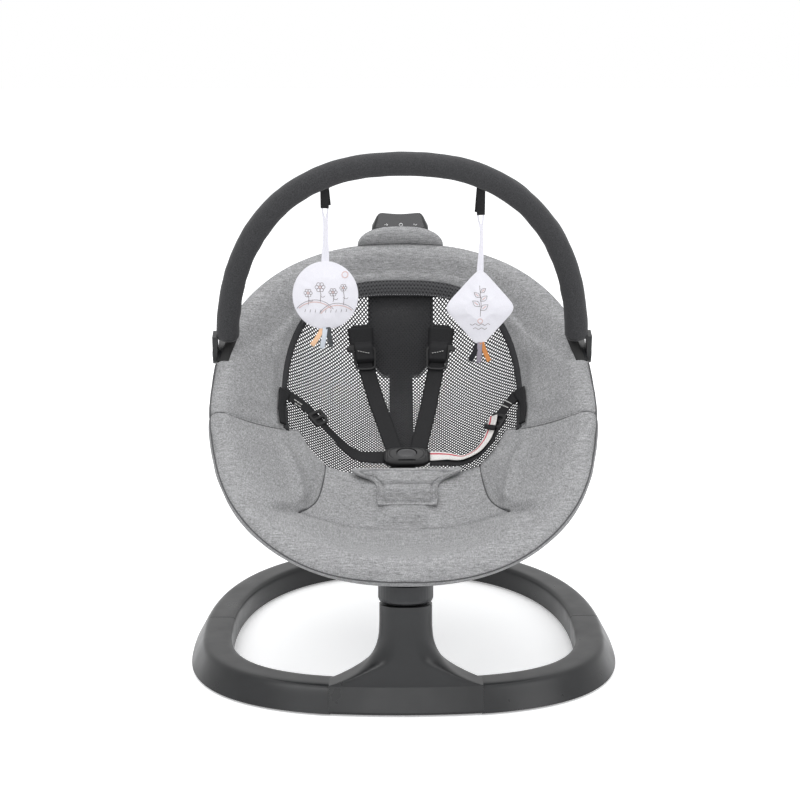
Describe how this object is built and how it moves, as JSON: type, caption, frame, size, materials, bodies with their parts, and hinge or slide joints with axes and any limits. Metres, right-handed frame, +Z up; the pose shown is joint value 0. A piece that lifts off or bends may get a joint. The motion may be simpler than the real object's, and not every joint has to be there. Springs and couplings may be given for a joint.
{
  "type": "child swing seat",
  "caption": "Baby swing: reclined oval padded seat with mesh back, harness and toy bar, swinging on a leaning column that stands on a ring base.",
  "frame": {"origin": "centre of the ring base on the floor, below the middle of its plan", "axes": "+Z up, -Y towards the foot of the seat and the viewer, +X to the viewer's right"},
  "size_m": [0.6058, 0.65, 0.7142],
  "materials": {
    "satin_black": "satin",
    "hub_grey": "satin",
    "rubber": "matt",
    "steel": "plain",
    "copper": "wound wire",
    "grey_melange": "grey melange knit",
    "black_mesh": "open knit mesh",
    "webbing": "woven tape",
    "white_tape": "woven tape",
    "dark_sleeve": "padded sleeve",
    "white_cloth": "printed cloth",
    "button_black": "gloss"
  },
  "bodies": {
    "base": {"base_arc_left": "satin_black", "base_arc_rear": "satin_black", "base_arc_right": "satin_black", "column_base_cover": "satin_black", "column_housing": "satin_black", "drive_coil": "copper", "foot_pad_front_left": "rubber", "foot_pad_front_right": "rubber", "foot_pad_rear_left": "rubber", "foot_pad_rear_right": "rubber", "lower_bearing": "steel", "power_inlet": "satin_black", "ring_bottom_cover": "satin_black", "upper_bearing": "steel"},
    "seat": {"buckle_body": "satin_black", "control_panel": "button_black", "control_pod": "satin_black", "cover_front": "grey_melange", "cover_head": "grey_melange", "crotch_pad": "grey_melange", "crotch_strap": "webbing", "drive_magnet": "steel", "foot_clamp": "satin_black", "frame_tube_lower": "steel", "frame_tube_upper": "steel", "head_clamp": "satin_black", "head_roll": "grey_melange", "hub_collar": "hub_grey", "mesh_panel": "black_mesh", "seat_cushion": "grey_melange", "shoulder_adjuster_left": "satin_black", "shoulder_adjuster_right": "satin_black", "shoulder_strap_left": "webbing", "shoulder_strap_right": "webbing", "side_anchor_left": "webbing", "side_anchor_right": "webbing", "side_bracket_left": "satin_black", "side_bracket_right": "satin_black", "spine_front": "satin_black", "spine_rear": "satin_black", "swing_shaft": "steel", "waist_adjuster_left": "satin_black", "waist_adjuster_right": "satin_black", "waist_strap_left": "webbing", "waist_strap_right": "white_tape"},
    "toy_bar": {"bar_pin_left": "steel", "bar_pin_right": "steel", "bar_sleeve": "dark_sleeve", "bar_socket_left": "satin_black", "bar_socket_right": "satin_black", "bar_tube": "steel", "toy_loop_left": "webbing", "toy_loop_right": "webbing"},
    "toy_left": {"toy_body_left": "white_cloth", "toy_ribbon_left": "white_cloth", "toy_tails_left": "white_cloth"},
    "toy_right": {"toy_body_right": "white_cloth", "toy_ribbon_right": "white_cloth", "toy_tails_right": "white_cloth"},
    "button": {"buckle_button": "button_black"}
  },
  "joints": [
    {"name": "seat_swing", "type": "hinge", "parent": "base", "child": "seat", "pos_m": [0, -0.264, 0.14], "axis": [0, 0.1392, 0.9903], "range_deg": [-12, 12]},
    {"name": "toy_bar_tilt", "type": "hinge", "parent": "seat", "child": "toy_bar", "pos_m": [0, 0.05617, 0.41263], "axis": [1, 0, 0], "range_deg": [-10, 45]},
    {"name": "toy_left_swing", "type": "hinge", "parent": "toy_bar", "child": "toy_left", "pos_m": [-0.11, -0.00055, 0.6345], "axis": [1, 0, 0], "range_deg": [-60, 60]},
    {"name": "toy_right_swing", "type": "hinge", "parent": "toy_bar", "child": "toy_right", "pos_m": [0.11, -0.00055, 0.6245], "axis": [1, 0, 0], "range_deg": [-60, 60]},
    {"name": "buckle_button_press", "type": "slide", "parent": "seat", "child": "button", "axis": [0, 0.515, -0.8572], "range_m": [0, 0.003], "stiffness_N_per_m": 600}
  ]
}
